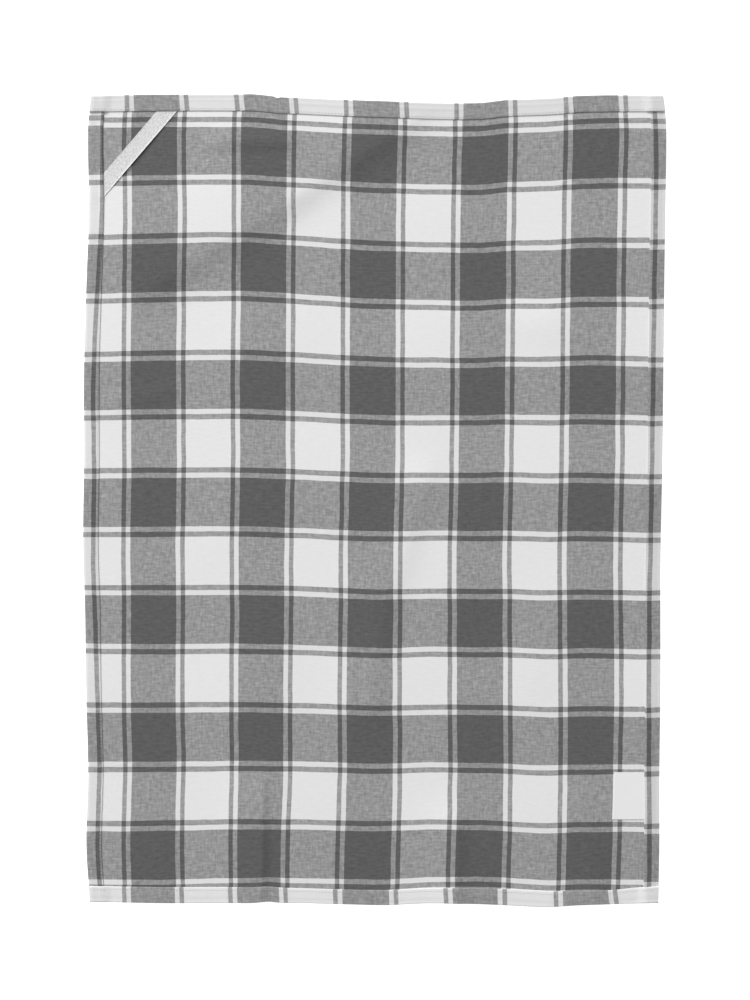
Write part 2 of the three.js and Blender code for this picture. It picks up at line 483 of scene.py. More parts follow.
def fold_height(x, y):
    """Height of the cloth's low folds. Each falls from its crest as the exponential of minus a power of the
    distance over its reach, and beyond its ends as a bell curve. The highest wins, softly, as the fourth root
    of the sum of fourth powers. Under them lies a gentle swell of about a tenth of a metre."""
    total = np.zeros(np.broadcast(x, y).shape)
    for start, end, left_reach, right_reach, rise, power in FOLDS:
        run = np.array(end, float) - start
        length = np.hypot(*run)
        ahead_x, ahead_y = run / length
        along = (x - start[0]) * ahead_x + (y - start[1]) * ahead_y
        aside = (y - start[1]) * ahead_x - (x - start[0]) * ahead_y
        beyond = np.maximum(np.maximum(-along, along - length), 0)
        share = np.abs(aside) / np.where(aside > 0, left_reach, right_reach)
        total += (rise * np.exp(-(share**power) - (beyond / FOLD_END) ** 2)) ** 4
    wave, sway, amount = SWELL_ACROSS
    swell = np.sin(x / wave + amount * np.sin(y / sway))
    wave, sway, amount = SWELL_ALONG
    swell = swell + np.sin(y / wave + amount * np.sin(x / sway) + SWELL_PHASE)
    return total**0.25 + SWELL_HEIGHT * (swell + 2)


def settled(x, y):
    """Place on the towel as it lies of a point of the straight-edged one: it moves with the two edges beside
    it, in proportion to its distance from each."""
    long_at, left, right = np.array(LONG_EDGES).T
    short_at, bottom, top = np.array(SHORT_EDGES).T
    across = x / TOWEL_WIDTH + 0.5
    along = y / TOWEL_LENGTH + 0.5
    shift_x = through(long_at, left, y) * (1 - across) + through(long_at, right, y) * across
    shift_y = through(short_at, bottom, x) * (1 - along) + through(short_at, top, x) * along
    for end, place, reach, out, depth in EDGE_KINKS:
        inside = np.clip(TOWEL_LENGTH / 2 - end * y, 0, None)
        shift_y = shift_y + end * out * np.exp(-(((x - place) / reach) ** 2) - (inside / depth) ** 2)
    return x + shift_x, y + shift_y


def cloth_sizes(settings):
    """The cloth's sizes in millimetres. Each axis has half the hemmed size, both hems and the turn-under."""
    side_hem, side_turn = settings.side_hem / MM, settings.side_turn / MM
    top_hem, bottom_hem, end_turn = settings.top_hem / MM, settings.bottom_hem / MM, settings.end_turn / MM
    side = SimpleNamespace(half=settings.width / MM / 2, low=side_hem, high=side_hem, turn=side_turn)
    end = SimpleNamespace(half=settings.length / MM / 2, low=bottom_hem, high=top_hem, turn=end_turn)
    return SimpleNamespace(
        side=side, end=end, thickness=settings.thickness / MM, pitch=settings.layer_pitch / MM
    )


def end_axis(cloth, a):
    """The end hems' sizes at places across the flat cloth, because the bottom hem is uneven."""
    at, gain = np.array(BOTTOM_HEM_GAIN, float).T
    low = cloth.end.low + through(at, gain, a)
    return SimpleNamespace(half=cloth.end.half, low=low, high=cloth.end.high + 0 * low, turn=cloth.end.turn)


def turn_ends(axis, hem, pitch):
    """Lengths along the cloth, from its middle, at which the stages of a turned edge end: the body, the half
    circle over the edge, the run back, the half circle down and the run out again under the hem."""
    body = axis.half - pitch + 0 * hem
    back = body + math.pi * pitch
    foot = back + hem - 1.5 * pitch
    under = foot + math.pi * pitch / 2
    return body, back, foot, under, under + axis.turn


def turned(flat, axis, pitch, stack=0.0, layer=0.0):
    """Where the flat cloth goes along one axis when both its edges are turned over twice.

    The place runs out with the cloth to the edge, goes round a half circle, runs back for the hem's width,
    goes round a smaller half circle and runs out again between the two layers. A stack of other layers
    inside the turn widens both half circles, and a layer high in that stack turns on smaller ones.
    Returns the place, the height and how far each point is through the turn over the edge and the run back.
    """
    hem = np.where(flat < 0, axis.low, axis.high)
    body, back, foot, under, _ = turn_ends(axis, hem, pitch)
    length = np.abs(flat)
    over_angle = np.clip((length - body) / (back - body), 0, 1) * math.pi
    back_share = np.clip((length - back) / (foot - back), 0, 1)
    down_angle = np.clip((length - foot) / (under - foot), 0, 1) * math.pi
    out = np.clip(length - under, 0, None)
    over = 1.5 * stack + pitch
    down = stack + pitch / 2
    squeeze = (over - pitch) * ease((length - body + DRAW_IN) / DRAW_IN)
    place = np.minimum(length, body) - squeeze
    place = place + (over - layer) * np.sin(over_angle) - (hem - over - down) * back_share
    place = place - (down - layer) * np.sin(down_angle) + out
    height = layer + (over - layer) * (1 - np.cos(over_angle)) - (down - layer) * (1 - np.cos(down_angle))
    bare = 1 - axis.turn / (foot - back)
    sag = np.sin(math.pi * np.clip(back_share / bare, 0, 1)) * pitch / 2 * ease(bare * 3)
    shares = SimpleNamespace(over=over_angle / math.pi, back=back_share)
    return np.sign(flat) * place, height - sag, shares


def tape_lift(x, y):
    """How much of a tape lies under a point: 1 on the tape and its tucked ends, easing to 0 beside it."""
    low, high = tape_span(0.0)
    reach = np.clip((x - TAPE_MIDDLE[0]) * TAPE_RUN[0] + (y - TAPE_MIDDLE[1]) * TAPE_RUN[1], low, high)
    distance = np.hypot(x - TAPE_MIDDLE[0] - reach * TAPE_RUN[0], y - TAPE_MIDDLE[1] - reach * TAPE_RUN[1])
    return ease((TAPE_LIFT_REACH - distance) / TAPE_LIFT_FADE)


def label_lift(x, y):
    """How much of the label lies under a point: 1 on its tucked ends, easing to 0 above and below them."""
    low, high = (corner / MM for corner in LABEL_BOX)
    beside = np.maximum(low.y - y, y - high.y)
    above = ease((LABEL_LIFT_REACH - beside) / LABEL_LIFT_FADE)
    return above * ease((high.x + LABEL_TUCK + LABEL_LIFT_FADE - x) / LABEL_LIFT_FADE) * (x > 0)


def laid(a, b, cloth, tape_height, label_height):
    """Place in millimetres of points of the flat cut cloth on the hemmed towel, as it lies.

    The side edges turn first, alone. The top and bottom edges turn next, with the side hems inside them at
    the corners, pressed flatter there. Then the towel takes its wavy outline and its low folds, and the
    hems rise over the tape and the label that are caught under them.
    """
    ends = end_axis(cloth, a)
    x, side_height, side = turned(a, cloth.side, cloth.pitch)
    flat_y = turned(b, ends, cloth.pitch)[0]
    end_hem = np.where(b < 0, ends.low, ends.high)
    press = 1 - CORNER_PRESS * ease((np.abs(flat_y) - ends.half + end_hem + PRESS_LEAD) / PRESS_FADE)
    on_side_hem = ease((np.abs(x) - cloth.side.half + cloth.side.high + SIDE_HEM_FADE) / SIDE_HEM_FADE)
    stack = 2 * cloth.pitch * press * on_side_hem
    y, height, end = turned(b, ends, cloth.pitch, stack, side_height * press)
    x = x + np.zeros_like(y)
    x, y = settled(x, y)
    over = np.maximum(side.over, end.over)
    height = height + over * (tape_height * tape_lift(x, y) + label_height * label_lift(x, y))
    height = height + fold_height(x, y) + cloth.thickness / 2
    return np.stack((x, y, height), -1), side, end


def edge_lines(axis, hem, pitch):
    """Lengths along the cloth of the grid lines of one turned edge, close together where it bends."""
    stops = (axis.half - hem, *turn_ends(axis, hem, pitch))
    stages = zip(stops, stops[1:], EDGE_LINE_COUNTS)
    runs = [np.linspace(start, stop, count)[:-1] for start, stop, count in stages]
    return np.concatenate(runs + [[stops[-1]]])


def cloth_lines(axis, pitch, creases=()):
    """Places on the flat cloth of all grid lines of one axis, with closer ones along pressed creases. Where
    the hem's width varies along the other axis, each line is a row of places."""
    count = round((2 * axis.half - np.mean(axis.low) - np.mean(axis.high)) / GRID_SPACING)
    body = np.linspace(axis.low - axis.half, axis.half - axis.high, count)[1:-1]
    for crease in creases:
        near = np.linspace(crease - GRID_SPACING, crease + GRID_SPACING, CREASE_LINES)
        body = np.concatenate((body[np.abs(body - crease) > CREASE_CLEAR * GRID_SPACING], near))
    low = -edge_lines(axis, axis.low, pitch)
    high = edge_lines(axis, axis.high, pitch)
    return np.sort(np.concatenate((low, body, high)), axis=0)


def stripes_at(a, b, side, end):
    """Place in the woven check of each point of the flat cloth: its own place, moved by the drift of the
    stripes, and on the hems by the drag along them."""
    u = a + drift(UPRIGHT_STRIPE_DRIFT, a, b)
    v = b + drift(LEVEL_STRIPE_DRIFT, a, b)
    side_back, end_back = side.back, end.back
    on_side, on_end = ease(2 * side.over), ease(2 * end.over)
    end_drag = np.where(b > 0, drag(TOP_HEM_DRAG, a, end_back), drag(BOTTOM_HEM_DRAG, a, end_back))
    side_drag = np.where(a > 0, drag(RIGHT_HEM_DRAG, b, side_back), drag(LEFT_HEM_DRAG, b, side_back))
    at, shift = np.array(LEFT_HEM_SHIFT).T
    inwards = on_side * (a < 0) * through(at, shift, b)
    return np.stack((u - on_end * end_drag + inwards, v - on_side * side_drag), -1)


def dark_share(place, repeat, bands):
    """Share of dark yarn at places across the check: 1 in the dark band and the dark line and 0 in the white
    ones, with edges a millimetre wide, by the distance from the middle of the nearest dark band."""
    away = np.abs((place + repeat / 2) % repeat - repeat / 2)
    first, second, third = (np.clip(away - band + 0.5, 0, 1) for band in bands)
    return 1 - first + second - third


def layer_below(depth, axis, hem, pitch, beyond):
    """Length along the cloth, from its middle, of the layer next to a hem's outer one, at a depth from the
    fold: the turn-under where it reaches, and the layer beyond it elsewhere."""
    _, _, _, under, end = turn_ends(axis, hem, pitch)
    turn = under + hem - depth
    return np.where(turn < end, turn, beyond)


def show_through_and_painted_shade(a, b, stripes, side, end, cloth, settings):
    """Darkness of the layers that show faintly through the top one on the hems, with painted shade, from 0 to
    1: the hem's own grey from all of them together and from painted shade, and three tenths from each set of
    yarns of the next one. At the corners that is the side hem inside the end hem."""
    ends = end_axis(cloth, a)
    end_hem = np.where(b < 0, ends.low, ends.high)
    side_hem = cloth.side.high
    side_depth = side.back * side_hem
    end_depth = end.back * end_hem
    corner_depth = cloth.side.half - np.abs(a)
    side_fold = turn_ends(cloth.side, side_hem, cloth.pitch)[1]
    below_side = layer_below(side_depth, cloth.side, side_hem, cloth.pitch, cloth.side.half - side_depth)
    below_end = layer_below(end_depth, ends, end_hem, cloth.pitch, ends.half - end_depth)
    below_corner = layer_below(corner_depth, cloth.side, side_hem, cloth.pitch, side_fold + corner_depth)
    in_corner = corner_depth < side_hem
    drift_u, drift_v = stripes[..., 0] - a, stripes[..., 1] - b
    on_side = (side.back > 0) & (end.over < 0.5)
    on_end = end.back > 0
    beside = np.where(in_corner, np.sign(a) * below_corner, a)
    u = np.where(on_side, np.sign(a) * below_side, beside) + drift_u
    v = np.where(on_end, np.sign(b) * below_end, b) + drift_v
    dark_warp = dark_share(u, settings.warp_repeat / MM, WARP_BANDS)
    dark_weft = dark_share(v, settings.weft_repeat / MM, WEFT_BANDS)
    # Each hem's grey is partly painted shade
    left, right, bottom, top = HEM_GREY_AND_PAINTED_SHADE
    grey = np.where(on_end, np.where(b > 0, top, bottom), np.where(a > 0, right, left))
    return (on_side | on_end) * (grey + YARN_SHOW * dark_warp + YARN_SHOW * dark_weft)


def grid_faces(rows, columns):
    """Corner numbers of the quads of a grid whose points are numbered along its rows."""
    first = np.arange(rows - 1)[:, None] * columns + np.arange(columns - 1)
    return np.stack((first, first + 1, first + columns + 1, first + columns), -1).reshape(-1, 4)


def make_piece(name, points, faces, material, flat=None):
    """Makes a smooth-shaded mesh object at the origin from points in millimetres, with an optional UV map
    that holds each point's place on the flat cloth in millimetres."""
    mesh = bpy.data.meshes.new(name)
    mesh.vertices.add(len(points))
    mesh.vertices.foreach_set("co", (points * MM).astype(np.float32).ravel())
    mesh.loops.add(faces.size)
    mesh.loops.foreach_set("vertex_index", faces.astype(np.int32).ravel())
    mesh.polygons.add(len(faces))
    mesh.polygons.foreach_set("loop_start", np.arange(len(faces), dtype=np.int32) * faces.shape[1])
    mesh.update(calc_edges=True)
    mesh.polygons.foreach_set("use_smooth", np.ones(len(faces), bool))
    if flat is not None:
        layer = mesh.uv_layers.new(name=FLAT_MAP)
        layer.uv.foreach_set("vector", flat[faces.ravel()].astype(np.float32).ravel())
    mesh.validate()
    mesh.materials.append(material)
    piece = bpy.data.objects.new(name, mesh)
    bpy.context.scene.collection.objects.link(piece)
    return piece


def thicken(piece, thickness):
    """Gives a sheet its thickness in metres, half to each side."""
    solid = piece.modifiers.new("cloth thickness", "SOLIDIFY")
    solid.thickness = thickness
    solid.offset = 0


def tape_span(side):
    """Lengths along the tape's line, from its middle, at which a line of it meets the left and top hems."""
    cloth = cloth_sizes(bpy.context.scene.tea_towel_cloth)
    left = settled(np.array(cloth.side.low - cloth.side.half), np.array(TAPE_MIDDLE[1]))[0]
    top = settled(np.array(TAPE_MIDDLE[0]), np.array(cloth.end.half - cloth.end.high))[1]
    start = TAPE_MIDDLE + np.multiply.outer(side, TAPE_SIDE)
    return (left - start[..., 0]) / TAPE_RUN[0] - TAPE_TUCK, (top - start[..., 1]) / TAPE_RUN[1] + TAPE_TUCK


def tape_sheet(u, v, tape, cloth):
    """Points of the tape: u runs from one tucked end to the other and v from edge to edge. Between the hems
    the tape rises by the square of the sine of half a turn, so it leaves both hems level. Its selvedges curl
    up by the sixth power of the share of half its width."""
    side = v * tape.width / MM / 2
    low, high = tape_span(side)
    length = low + (high - low) * u
    between = np.clip((length - low - TAPE_TUCK) / (high - low - 2 * TAPE_TUCK), 0, 1)
    x = TAPE_MIDDLE[0] + side * TAPE_SIDE[0] + length * TAPE_RUN[0]
    y = TAPE_MIDDLE[1] + side * TAPE_SIDE[1] + length * TAPE_RUN[1]
    curl = SELVEDGE_CURL * v**6 * ease(4 * between * (1 - between))
    rise = tape.rise / MM * np.sin(math.pi * between) ** 2 + curl
    height = cloth.thickness + TAPE_CLEARANCE + tape.thickness / MM / 2 + rise + fold_height(x, y)
    return np.stack((x, y, height), -1), np.stack((side + 0 * length, length), -1)


def label_sheet(u, v, label, cloth):
    """Points of the folded label: u runs from its lower cut end under the hem out to the fold, round a half
    circle and back over itself, and v runs up its height. The fold stands a little off the cloth."""
    low, high = (corner / MM for corner in LABEL_BOX)
    layer = label.thickness / MM
    radius = layer * LABEL_FOLD
    width = high.x - low.x + LABEL_TUCK
    slant = LABEL_SLANT * v
    run = np.clip(u, 0, 1) - np.clip(u - 2, 0, 1)
    turn = np.clip(u - 1, 0, 1) * math.pi
    x = high.x + LABEL_TUCK - run * (width - slant) - radius * np.sin(turn)
    y = low.y + v * (high.y - low.y) + 0 * x
    curl = label.curl / MM * run**3 * (1 - 0.5 * v)
    height = cloth.thickness + LABEL_CLEARANCE + layer / 2 + radius * (1 - np.cos(turn)) + curl
    height = height + fold_height(x, y)
    return np.stack((x, y, height), -1), np.stack((x, y), -1)


def seam_places(row, stitch, cloth):
    """Places on the flat cloth of the points of a row of stitches, six to a stitch, that runs along a hem's
    outer layer at a distance in from the hem's inner edge."""
    name, hand, inset = row
    axis, other = (cloth.side, cloth.end) if name == "side" else (cloth.end, cloth.side)
    margin = cloth.end.low + SIDE_ROW_GAP if name == "side" else END_ROW_GAP
    length = 2 * (other.half - margin)
    count = int(length / stitch.pitch * MM)
    first = (np.arange(count) + 0.5) * (length / count) - stitch.length / MM / 2
    along = first[:, None] + np.linspace(0, 1, STITCH_POINTS) * stitch.length / MM - length / 2
    if name == "end":
        axis = end_axis(cloth, along)
    hem = axis.high if hand > 0 else axis.low
    across = hand * (turn_ends(axis, hem, cloth.pitch)[2] - inset + cloth.pitch / 2) + 0 * along
    return (across, along) if name == "side" else (along, across)


def stitch_beads(points, thread):
    """A row of stitches from points along it: each is a bead of thread with six sides, thickest in its middle
    and drawn down into the cloth at both ends."""
    ahead = np.gradient(points, axis=1)
    ahead /= np.linalg.norm(ahead, axis=-1, keepdims=True)
    aside = np.cross((0, 0, 1), ahead)
    above = np.cross(ahead, aside)
    bulge = np.sin(math.pi * (0.06 + 0.88 * np.linspace(0, 1, STITCH_POINTS))) ** 0.6
    angle = np.linspace(0, 2 * math.pi, THREAD_SIDES, endpoint=False)
    ring = np.cos(angle)[:, None] * aside[:, :, None, :] + np.sin(angle)[:, None] * above[:, :, None, :]
    sunk = (bulge - 0.75) * thread * 0.8
    centre = points + sunk[None, :, None] * above
    beads = centre[:, :, None, :] + thread / 2 * bulge[None, :, None, None] * ring
    around = np.arange(THREAD_SIDES)
    first = np.arange(STITCH_POINTS - 1)[:, None] * THREAD_SIDES
    near = first + around
    beside = first + (around + 1) % THREAD_SIDES
    sides = np.stack((near, beside, beside + THREAD_SIDES, near + THREAD_SIDES), -1).reshape(-1, 4)
    last_ring = (STITCH_POINTS - 1) * THREAD_SIDES
    cap = np.array([(0, 1, 2, 3), (0, 3, 4, 5)])
    start_cap = np.array([(0, 5, 4, 3), (0, 3, 2, 1)])
    one = np.concatenate((sides, start_cap, cap + last_ring))
    stitch_size = STITCH_POINTS * THREAD_SIDES
    faces = (one[None] + np.arange(len(points))[:, None, None] * stitch_size).reshape(-1, 4)
    return beads.reshape(-1, 3), faces


def add_node(tree, kind, inputs=None, **settings):
    """Adds a node, gives it its settings, and links or sets each of its inputs."""
    node = tree.nodes.new(kind)
    for name, value in settings.items():
        setattr(node, name, value)
    for key, value in (inputs or {}).items():
        if isinstance(value, bpy.types.NodeSocket):
            tree.links.new(value, node.inputs[key])
        else:
            node.inputs[key].default_value = value
    return node


def new_material(name):
    """An empty node material with its output, as (material, node tree, output node)."""
    material = bpy.data.materials.new(name)
    material.use_nodes = True
    material.node_tree.nodes.clear()
    return material, material.node_tree, material.node_tree.nodes.new("ShaderNodeOutputMaterial")


def check_cotton(settings):
    """Plain-woven cotton with a dyed check. Dark and white yarns cross as in gingham, so the check has three
    tones. The eye sees flat dark and white squares and, where the two yarns mix, a grey full of short
    streaks along the uneven white yarn."""
    material, tree, output = new_material("checked plain-woven cotton")
    flat = add_node(tree, "ShaderNodeUVMap", uv_map=FLAT_MAP).outputs["UV"]

    # The yarns wander by up to about half a millimetre over a few centimetres
    slow = add_node(tree, "ShaderNodeVectorMath", {0: flat, 1: (1 / 30, 1 / 30, 0)}, operation="MULTIPLY")
    sway = add_node(tree, "ShaderNodeTexNoise", {"Vector": slow.outputs[0], "Scale": 1.0, "Detail": 2.0})
    centred = add_node(
        tree, "ShaderNodeVectorMath", {0: sway.outputs["Color"], 1: (0.5,) * 3}, operation="SUBTRACT"
    )
    wander = add_node(
        tree, "ShaderNodeVectorMath", {0: centred.outputs[0], "Scale": 1.4}, operation="SCALE"
    )
    moved = add_node(tree, "ShaderNodeVectorMath", {0: flat, 1: wander.outputs[0]}, operation="ADD")
    place = add_node(tree, "ShaderNodeSeparateXYZ", {0: moved.outputs[0]})

    # White share of each set of yarns, by the distance in millimetres from the middle of a dark band
    white = {}
    for yarn, axis, repeat, edges in (
        ("warp", "X", settings.warp_repeat / MM, WARP_BANDS),
        ("weft", "Y", settings.weft_repeat / MM, WEFT_BANDS),
    ):
        half = repeat / 2
        away = add_node(tree, "ShaderNodeMath", {0: place.outputs[axis], 1: half}, operation="PINGPONG")
        share = add_node(tree, "ShaderNodeMath", {0: away.outputs[0], 1: half}, operation="DIVIDE")
        ramp = add_node(tree, "ShaderNodeValToRGB", {"Fac": share.outputs[0]})
        ramp.color_ramp.interpolation = "CONSTANT"
        stops = ramp.color_ramp.elements
        for position, tone in zip((0, *edges), BAND_WHITENESS):
            stop = stops[0] if position == 0 else stops.new(position / half)
            stop.color = (tone, tone, tone, 1)
        stops.remove(stops[-1])
        white[yarn] = ramp.outputs["Color"]

    # Uneven yarn: streaks along each set of yarns, about 10 mm long, and soft blotches of a few threads.
    # Streaks are drawn three threads wide, because one thread is finer than a pixel.
    grain = {}
    for name, scale in (
        ("warp", (1 / 1.6, 1 / 10, 0)),
        ("weft", (1 / 8, 1 / 1.6, 0)),
        ("blotch", (1 / 3.0, 1 / 4.2, 0)),
    ):
        stretched = add_node(tree, "ShaderNodeVectorMath", {0: flat, 1: scale}, operation="MULTIPLY")
        noise = add_node(
            tree,
            "ShaderNodeTexNoise",
            {"Vector": stretched.outputs[0], "Scale": 1.0, "Detail": 3.0, "Roughness": 0.6},
        )
        about = add_node(tree, "ShaderNodeMath", {0: noise.outputs[0], 1: 0.5}, operation="SUBTRACT")
        grain[name] = about.outputs[0]
    crossed = add_node(
        tree, "ShaderNodeMath", {0: grain["weft"], 1: 0.5, 2: grain["warp"]}, operation="MULTIPLY_ADD"
    )
    dyed = add_node(
        tree, "ShaderNodeMath", {0: grain["blotch"], 1: 0.6, 2: grain["weft"]}, operation="MULTIPLY_ADD"
    )
    uneven = add_node(
        tree,
        "ShaderNodeMath",
        {0: grain["blotch"], 1: 0.6, 2: crossed.outputs[0]},
        operation="MULTIPLY_ADD",
    )

    # Tone: none, about a third or all of the white shows, as neither, one or both yarns are white. Where
    # only one is, its unevenness shows strongly.
    both = add_node(tree, "ShaderNodeMath", {0: white["warp"], 1: white["weft"]}, operation="ADD")
    mean = add_node(tree, "ShaderNodeMath", {0: both.outputs[0], 1: 0.5}, operation="MULTIPLY")
    tone = add_node(tree, "ShaderNodeMath", {0: mean.outputs[0], 1: 1.76}, operation="POWER")
    odd = add_node(tree, "ShaderNodeMath", {0: white["warp"], 1: white["weft"]}, operation="SUBTRACT")
    mixed = add_node(tree, "ShaderNodeMath", {0: odd.outputs[0]}, operation="ABSOLUTE")
    strength = add_node(tree, "ShaderNodeMath", {0: mixed.outputs[0], 1: 0.32}, operation="MULTIPLY")
    share = add_node(
        tree,
        "ShaderNodeMath",
        {0: uneven.outputs[0], 1: strength.outputs[0], 2: tone.outputs[0]},
        operation="MULTIPLY_ADD",
    )
    yarns = add_node(
        tree,
        "ShaderNodeMix",
        {"Factor": share.outputs[0], "A": (*settings.dark, 1), "B": (*settings.white, 1)},
        data_type="RGBA",
    )

    # Dark yarn is dyed unevenly, which shows most along the weft, and white yarn hardly is
    dye = add_node(tree, "ShaderNodeMath", {0: tone.outputs[0], 1: -0.7, 2: 0.82}, operation="MULTIPLY_ADD")
    patchy = add_node(
        tree, "ShaderNodeMath", {0: dyed.outputs[0], 1: dye.outputs[0], 2: 1.0}, operation="MULTIPLY_ADD"
    )

    # The hems are thin enough for the dark yarns of the layer below to grey them, the white most of all. The
    # same attribute also darkens them with painted shade.
    below = add_node(tree, "ShaderNodeAttribute", attribute_name=HEM_DARKNESS_AND_SHADE)
    clear = add_node(
        tree, "ShaderNodeMath", {0: tone.outputs[0], 1: -0.17, 2: -0.08}, operation="MULTIPLY_ADD"
    )
    kept = add_node(
        tree,
        "ShaderNodeMath",
        {0: below.outputs["Fac"], 1: clear.outputs[0], 2: 1.0},
        operation="MULTIPLY_ADD",
    )
    shown = add_node(
        tree, "ShaderNodeMath", {0: kept.outputs[0], 1: patchy.outputs[0]}, operation="MULTIPLY"
    )
    colour = add_node(
        tree,
        "ShaderNodeVectorMath",
        {0: yarns.outputs["Result"], "Scale": shown.outputs[0]},
        operation="SCALE",
    )

    # Relief of the weave: crowns of the threads where they pass over each other, and the slubs
    waves = []
    for axis in ("X", "Y"):
        phase = add_node(
            tree,
            "ShaderNodeMath",
            {0: place.outputs[axis], 1: math.pi / (settings.thread_pitch / MM)},
            operation="MULTIPLY",
        )
        waves.append(add_node(tree, "ShaderNodeMath", {0: phase.outputs[0]}, operation="SINE").outputs[0])
    crowns = add_node(tree, "ShaderNodeMath", {0: waves[0], 1: waves[1]}, operation="MULTIPLY")
    relief = add_node(
        tree,
        "ShaderNodeMath",
        {0: crossed.outputs[0], 1: 2.0, 2: crowns.outputs[0]},
        operation="MULTIPLY_ADD",
    )
    bump = add_node(
        tree, "ShaderNodeBump", {"Strength": 0.35, "Distance": 0.00008, "Height": relief.outputs[0]}
    )
    shader = add_node(
        tree,
        "ShaderNodeBsdfPrincipled",
        {
            "Base Color": colour.outputs[0],
            "Roughness": 0.93,
            "Specular IOR Level": 0.25,
            "Sheen Weight": 0.08,
            "Sheen Roughness": 0.5,
            "Normal": bump.outputs[0],
        },
    )
    tree.links.new(shader.outputs[0], output.inputs["Surface"])
    return material


def twill_tape(settings):
    """White cotton tape, twill-woven. The eye sees a fine slanting rib and a whiter lower selvedge. The rib
    is drawn at 1.3 mm, about twice its real size, so that it shows."""
    material, tree, output = new_material("white twill cotton tape")
    flat = add_node(tree, "ShaderNodeUVMap", uv_map=FLAT_MAP).outputs["UV"]
    place = add_node(tree, "ShaderNodeSeparateXYZ", {0: flat})
    slanted = add_node(
        tree, "ShaderNodeMath", {0: place.outputs["X"], 1: place.outputs["Y"]}, operation="ADD"
    )
    phase = add_node(
        tree, "ShaderNodeMath", {0: slanted.outputs[0], 1: 2 * math.pi / 1.3}, operation="MULTIPLY"
    )
    rib = add_node(tree, "ShaderNodeMath", {0: phase.outputs[0]}, operation="SINE")
    fine = add_node(tree, "ShaderNodeVectorMath", {0: flat, 1: (1 / 1.3, 1 / 2.0, 0)}, operation="MULTIPLY")
    noise = add_node(tree, "ShaderNodeTexNoise", {"Vector": fine.outputs[0], "Scale": 1.0, "Detail": 3.0})
    height = add_node(
        tree, "ShaderNodeMath", {0: noise.outputs[0], 1: 5.0, 2: rib.outputs[0]}, operation="MULTIPLY_ADD"
    )

    # The lower selvedge is drawn whiter than the rest
    edge = add_node(tree, "ShaderNodeMath", {0: place.outputs["X"], 1: -1.0}, operation="MULTIPLY")
    half = settings.width / MM / 2
    selvedge = add_node(
        tree, "ShaderNodeMapRange", {0: edge.outputs[0], 1: half - 1.3, 2: half - 0.7, 3: 0.0, 4: 1.4}
    )
    raised = add_node(
        tree, "ShaderNodeMath", {0: height.outputs[0], 1: selvedge.outputs[0]}, operation="ADD"
    )
    grain = add_node(tree, "ShaderNodeMapRange", {0: raised.outputs[0], 1: 0.8, 2: 5.0, 3: 0.0, 4: 1.0})
    shade = tuple(0.45 * c for c in settings.colour)
    colour = add_node(
        tree,
        "ShaderNodeMix",
        {"Factor": grain.outputs[0], "A": (*shade, 1), "B": (*settings.colour, 1)},
        data_type="RGBA",
    )
    bump = add_node(
        tree, "ShaderNodeBump", {"Strength": 0.5, "Distance": 0.0001, "Height": height.outputs[0]}
    )
    shader = add_node(
        tree,
        "ShaderNodeBsdfPrincipled",
        {
            "Base Color": colour.outputs["Result"],
            "Roughness": 0.9,
            "Specular IOR Level": 0.3,
            "Sheen Weight": 0.1,
            "Normal": bump.outputs[0],
        },
    )
    tree.links.new(shader.outputs[0], output.inputs["Surface"])
    return material


def satin_label(settings):
    """White polyester satin ribbon. The eye sees a smooth, faintly lustrous face with very fine level ribs,
    drawn at 0.8 mm, twice their real size, so that they show."""
    material, tree, output = new_material("white satin label ribbon")
    flat = add_node(tree, "ShaderNodeUVMap", uv_map=FLAT_MAP).outputs["UV"]
    place = add_node(tree, "ShaderNodeSeparateXYZ", {0: flat})
    phase = add_node(
        tree, "ShaderNodeMath", {0: place.outputs["X"], 1: 2 * math.pi / 0.8}, operation="MULTIPLY"
    )
    rib = add_node(tree, "ShaderNodeMath", {0: phase.outputs[0]}, operation="SINE")
    fine = add_node(tree, "ShaderNodeVectorMath", {0: flat, 1: (1 / 0.7, 1 / 5, 0)}, operation="MULTIPLY")
    noise = add_node(tree, "ShaderNodeTexNoise", {"Vector": fine.outputs[0], "Scale": 1.0, "Detail": 2.0})
    height = add_node(
        tree, "ShaderNodeMath", {0: noise.outputs[0], 1: 2.0, 2: rib.outputs[0]}, operation="MULTIPLY_ADD"
    )
    shade = tuple(0.94 * c for c in settings.colour)
    colour = add_node(
        tree,
        "ShaderNodeMix",
        {"Factor": noise.outputs[0], "A": (*shade, 1), "B": (*settings.colour, 1)},
        data_type="RGBA",
    )
    bump = add_node(
        tree, "ShaderNodeBump", {"Strength": 0.25, "Distance": 0.00005, "Height": height.outputs[0]}
    )
    shader = add_node(
        tree,
        "ShaderNodeBsdfPrincipled",
        {
            "Base Color": colour.outputs["Result"],
            "Roughness": 0.5,
            "Specular IOR Level": 0.4,
            "Anisotropic": 0.3,
            "Normal": bump.outputs[0],
        },
    )
    tree.links.new(shader.outputs[0], output.inputs["Surface"])
    return material


def sewing_thread(settings):
    """White polyester sewing thread, two plies twisted. The eye sees small pale beads with a faint mottle,
    drawn at 0.5 mm."""
    material, tree, output = new_material("white sewing thread")
    place = add_node(tree, "ShaderNodeTexCoord").outputs["Object"]
    scaled = add_node(tree, "ShaderNodeVectorMath", {0: place, "Scale": 1 / (0.5 * MM)}, operation="SCALE")
    noise = add_node(tree, "ShaderNodeTexNoise", {"Vector": scaled.outputs[0], "Scale": 1.0, "Detail": 1.0})
    shade = tuple(0.85 * c for c in settings.colour)
    colour = add_node(
        tree,
        "ShaderNodeMix",
        {"Factor": noise.outputs[0], "A": (*shade, 1), "B": (*settings.colour, 1)},
        data_type="RGBA",
    )
    shader = add_node(
        tree,
        "ShaderNodeBsdfPrincipled",
        {"Base Color": colour.outputs["Result"], "Roughness": 0.65, "Sheen Weight": 0.1},
    )
    tree.links.new(shader.outputs[0], output.inputs["Surface"])
    return material


